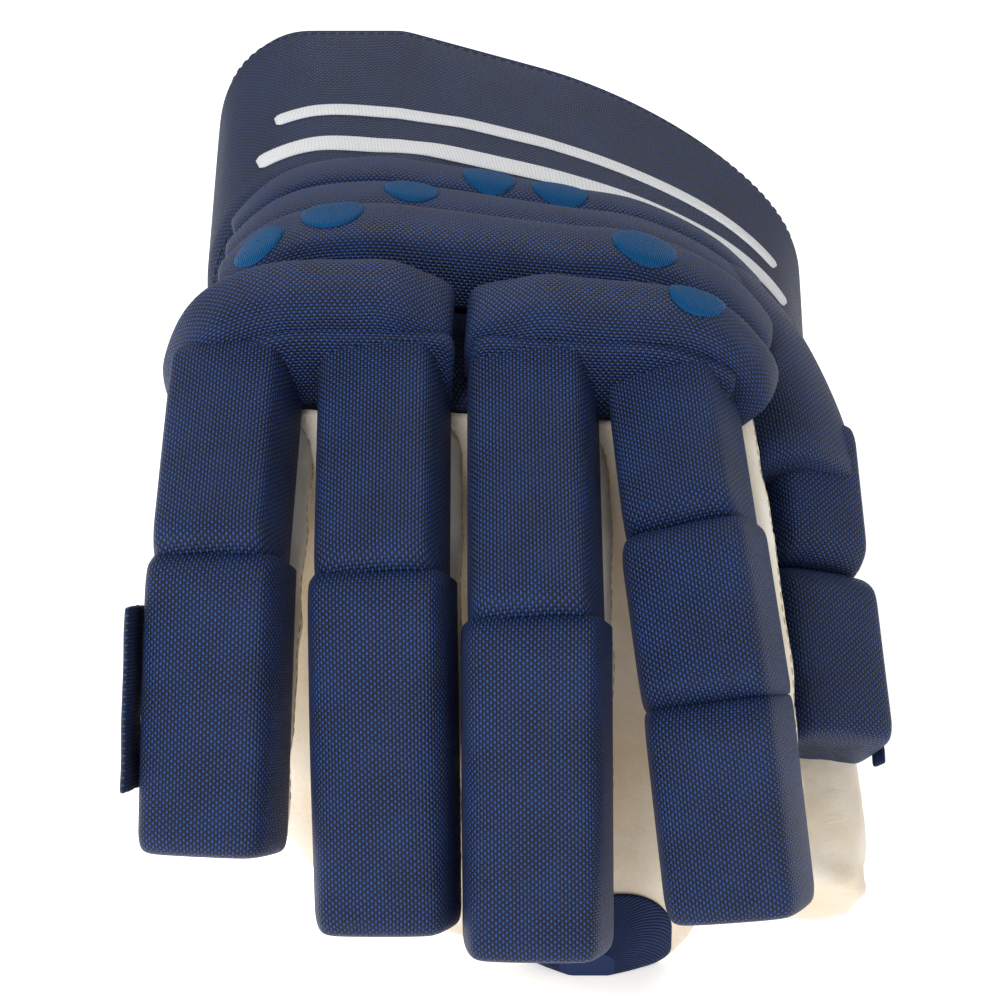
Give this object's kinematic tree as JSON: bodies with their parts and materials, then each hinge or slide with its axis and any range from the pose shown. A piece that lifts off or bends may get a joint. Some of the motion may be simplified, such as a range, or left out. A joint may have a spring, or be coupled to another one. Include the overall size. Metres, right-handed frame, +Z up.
{
  "type": "ice hockey glove",
  "caption": "Padded hockey glove with segmented finger rolls, rolls across the hand, a flared cuff and a suede palm with hollow stalls.",
  "frame": {"origin": "On the surface under the middle of the glove's bounding box.", "axes": "+X to the thumb side, +Y to the cuff, +Z up, away from the palm. Right hand, fingers forward and down."},
  "size_m": [0.1912, 0.2906, 0.1974],
  "materials": {
    "nylon": "navy basket-woven nylon, matt",
    "bare_nylon": "thin navy nylon, unpadded",
    "binding": "navy twill tape",
    "suede": "cream napped suede",
    "blue_embroidery": "dense mid-blue stitching"
  },
  "bodies": {
    "root": {"back_panel": "nylon", "cuff_binding": "binding", "cuff_pad": "nylon", "index_distal_roll": "nylon", "index_middle_roll": "nylon", "index_proximal_roll": "nylon", "index_sleeve": "suede", "knuckle_strip_left": "nylon", "knuckle_strip_right": "nylon", "middle_distal_roll": "nylon", "middle_proximal_roll": "nylon", "middle_sleeve": "suede", "oval_patch_1": "blue_embroidery", "oval_patch_2": "blue_embroidery", "oval_patch_3": "blue_embroidery", "oval_patch_4": "blue_embroidery", "oval_patch_5": "blue_embroidery", "oval_patch_6": "blue_embroidery", "oval_patch_7": "blue_embroidery", "palm_front_wall": "suede", "palm_heel_band": "binding", "palm_panel": "suede", "pinky_distal_roll": "nylon", "pinky_proximal_roll": "nylon", "pinky_side_flap": "bare_nylon", "pinky_sleeve": "suede", "radial_side_roll": "nylon", "radial_wing": "nylon", "ring_distal_roll": "nylon", "ring_proximal_roll": "nylon", "ring_sleeve": "suede", "roll_1": "nylon", "roll_2": "nylon", "roll_3": "nylon", "roll_4_left": "nylon", "roll_4_right": "nylon", "thumb_distal_roll": "nylon", "thumb_proximal_roll": "nylon", "thumb_side_flap": "bare_nylon", "thumb_sleeve": "suede", "thumb_tape_tab": "bare_nylon", "ulnar_wing": "nylon"}
  },
  "joints": []
}
